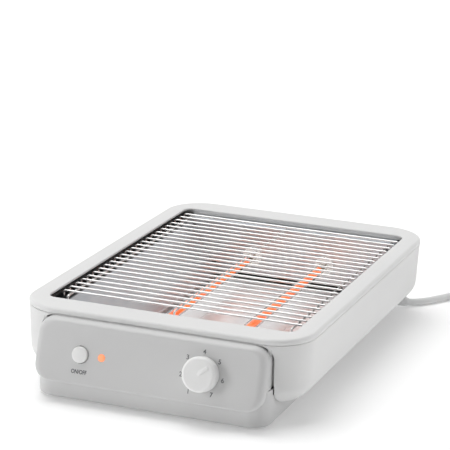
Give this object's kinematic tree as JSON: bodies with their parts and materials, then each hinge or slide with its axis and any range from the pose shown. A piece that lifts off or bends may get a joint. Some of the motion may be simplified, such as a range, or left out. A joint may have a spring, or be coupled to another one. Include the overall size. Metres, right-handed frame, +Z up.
{
  "type": "flat-bed electric toaster",
  "caption": "Low flat-bed electric toaster: wire grill over a polished reflector with quartz heating tubes, timer knob, power button, slide-out crumb tray and mains cord.",
  "frame": {"origin": "centre of the object's footprint on the surface it stands on, measured without the free cord", "axes": "+X right along the control side, -Y towards the user (control side), +Y towards the crumb tray end, +Z up"},
  "size_m": [0.3934, 0.52, 0.076],
  "materials": {
    "white_shell": "fine satin white",
    "grey_shell": "fine satin light grey",
    "white_controls": "soft gloss white",
    "black_plastic": "moulded black",
    "amber_lens": "clear amber",
    "lamp_glass": "clear",
    "polished_sheet": "bright rolled",
    "zinc_steel": "zinc plated",
    "grill_chrome": "bright wire",
    "painted_rail": "white enamel",
    "quartz": "clear quartz",
    "hot_coil": "glowing resistance wire",
    "white_ceramic": "unglazed white",
    "contact_brass": "plated",
    "foot_rubber": "matt",
    "cord_white": "soft white sheath"
  },
  "bodies": {
    "toaster": {"top_bezel": "white_shell", "outer_skirt": "white_shell", "base_tub": "grey_shell", "base_screw_front_left": "zinc_steel", "base_screw_front_right": "zinc_steel", "base_screw_rear_left": "zinc_steel", "base_screw_rear_right": "zinc_steel", "foot_front_left": "foot_rubber", "foot_front_right": "foot_rubber", "foot_rear_left": "foot_rubber", "foot_rear_right": "foot_rubber", "control_fascia": "grey_shell", "timer_body": "black_plastic", "switch_body": "black_plastic", "pilot_lens": "amber_lens", "pilot_lamp": "lamp_glass", "reflector_left": "polished_sheet", "reflector_right": "polished_sheet", "reflector_rear": "polished_sheet", "reflector_front": "polished_sheet", "quartz_tube_left": "quartz", "quartz_tube_right": "quartz", "heating_coil_left": "hot_coil", "heating_coil_right": "hot_coil", "ceramic_cap_front_left": "white_ceramic", "ceramic_cap_front_right": "white_ceramic", "ceramic_cap_rear_left": "white_ceramic", "ceramic_cap_rear_right": "white_ceramic", "terminal_tab_left": "contact_brass", "terminal_tab_right": "contact_brass", "bus_bar_rear": "contact_brass", "toast_grill": "grill_chrome", "grill_rail_left": "painted_rail", "grill_rail_right": "painted_rail", "tray_runner_left": "zinc_steel", "tray_runner_right": "zinc_steel", "heat_shield": "zinc_steel", "terminal_block": "white_ceramic", "strain_relief": "cord_white", "power_cord": "cord_white", "cord_coil": "cord_white", "cord_tail": "cord_white", "plug_body": "cord_white", "plug_pin_left": "contact_brass", "plug_pin_right": "contact_brass"},
    "timer_dial": {"timer_knob": "white_controls", "timer_shaft": "zinc_steel"},
    "power_key": {"power_button": "white_controls"},
    "tray": {"crumb_tray": "polished_sheet", "tray_pull": "grey_shell"}
  },
  "joints": [
    {"name": "timer_turn", "type": "hinge", "parent": "toaster", "child": "timer_dial", "pos_m": [0.0494, -0.19231, 0.04353], "axis": [0, -0.9632, 0.2689], "range_deg": [-90, 180]},
    {"name": "power_press", "type": "slide", "parent": "toaster", "child": "power_key", "axis": [0, 0.9632, -0.2689], "range_m": [0, 0.0022], "stiffness_N_per_m": 500, "springref_m": -0.003},
    {"name": "tray_slide", "type": "slide", "parent": "toaster", "child": "tray", "axis": [0, 1, 0], "range_m": [0, 0.3]}
  ]
}
